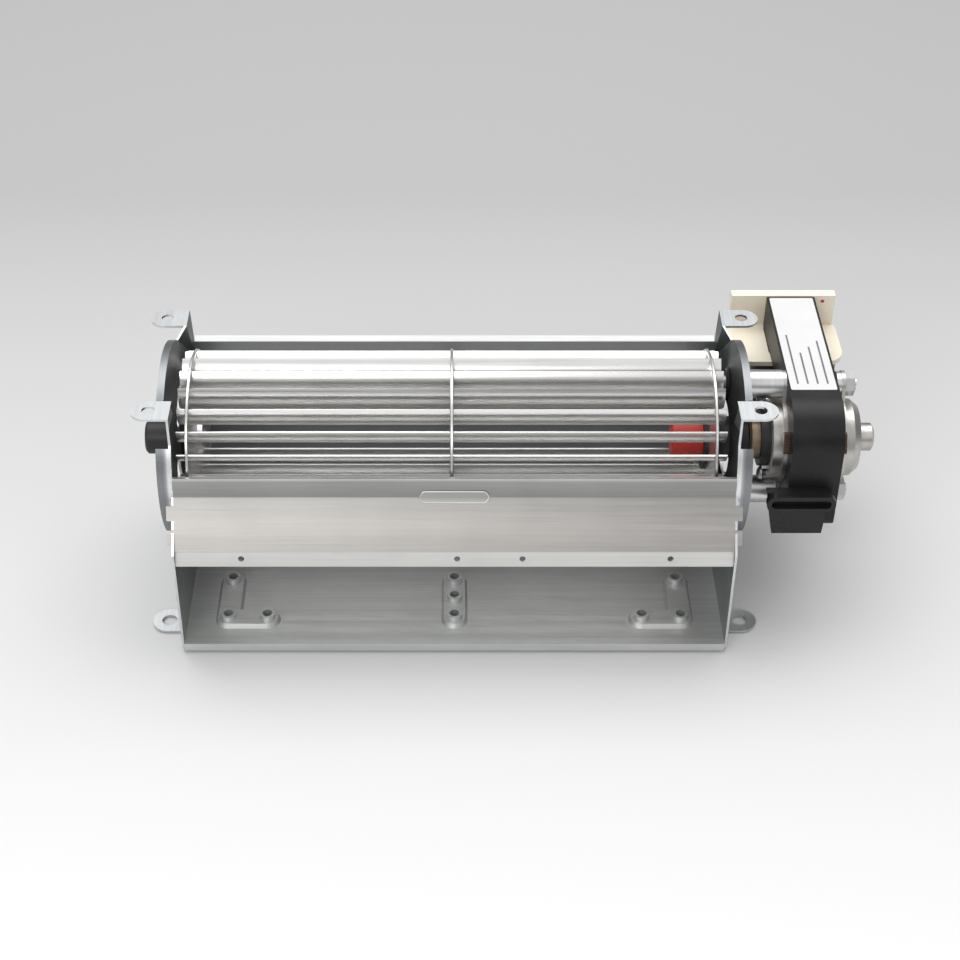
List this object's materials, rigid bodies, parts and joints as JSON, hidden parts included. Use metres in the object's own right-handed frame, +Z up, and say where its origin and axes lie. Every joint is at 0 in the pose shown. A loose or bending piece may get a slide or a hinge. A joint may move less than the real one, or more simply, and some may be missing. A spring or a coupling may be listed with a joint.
{
  "type": "cross flow fan",
  "caption": "Cross-flow fan: long slotted blade wheel in a folded steel housing with an outlet duct, driven by a C-frame shaded-pole motor at one end.",
  "frame": {"origin": "midway between the two foot-tab holes, on the tabs' underside", "axes": "+X along the shaft towards the motor, +Y from the outlet to the back, +Z up from the feet"},
  "size_m": [0.2476, 0.112, 0.091],
  "materials": {
    "galvanised": "galvanised, fine rolling grain",
    "aluminium_strip": "bright rolled strip",
    "black_varnish": "black varnish, satin",
    "die_cast": "die-cast zinc, warm satin",
    "zinc_steel": "bright zinc plate",
    "cream_nylon": "moulded nylon, satin",
    "copper_wire": "enamelled copper",
    "tinned_brass": "tinned brass",
    "sintered_bronze": "sintered bronze, matt",
    "black_rubber": "black rubber, satin",
    "red_silicone": "red silicone rubber",
    "black_felt": "oiled felt",
    "black_nylon": "black nylon, satin",
    "rotor_iron": "cast end rings on dark iron"
  },
  "bodies": {
    "housing": {"scroll_back": "galvanised", "front_baffle": "galvanised", "left_side_plate": "galvanised", "right_side_plate": "galvanised", "left_bush": "black_rubber", "left_bearing": "sintered_bronze", "motor_stack": "black_varnish", "coil_core": "black_varnish", "coil_bobbin": "cream_nylon", "coil_winding": "copper_wire", "terminals": "tinned_brass", "shading_rings": "copper_wire", "front_bracket": "die_cast", "rear_bracket": "die_cast", "front_bearing": "sintered_bronze", "rear_bearing": "sintered_bronze", "felt_ring": "black_felt", "motor_bolts": "zinc_steel", "motor_nuts": "zinc_steel", "spacers": "zinc_steel", "rear_spacers": "zinc_steel", "grommets": "black_rubber", "lead_clip": "black_nylon"},
    "wheel": {"wheel_blades": "aluminium_strip", "left_end_disc": "aluminium_strip", "middle_ring": "aluminium_strip", "right_end_disc": "aluminium_strip", "left_stub_shaft": "zinc_steel", "wheel_hub": "black_rubber", "drive_sleeve": "red_silicone", "motor_shaft": "zinc_steel", "rotor_core": "rotor_iron", "thrust_washers": "black_nylon"}
  },
  "joints": [
    {"name": "wheel_spin", "type": "hinge", "parent": "housing", "child": "wheel", "pos_m": [0, 0.03, 0.058], "axis": [1, 0, 0], "continuous": true}
  ]
}
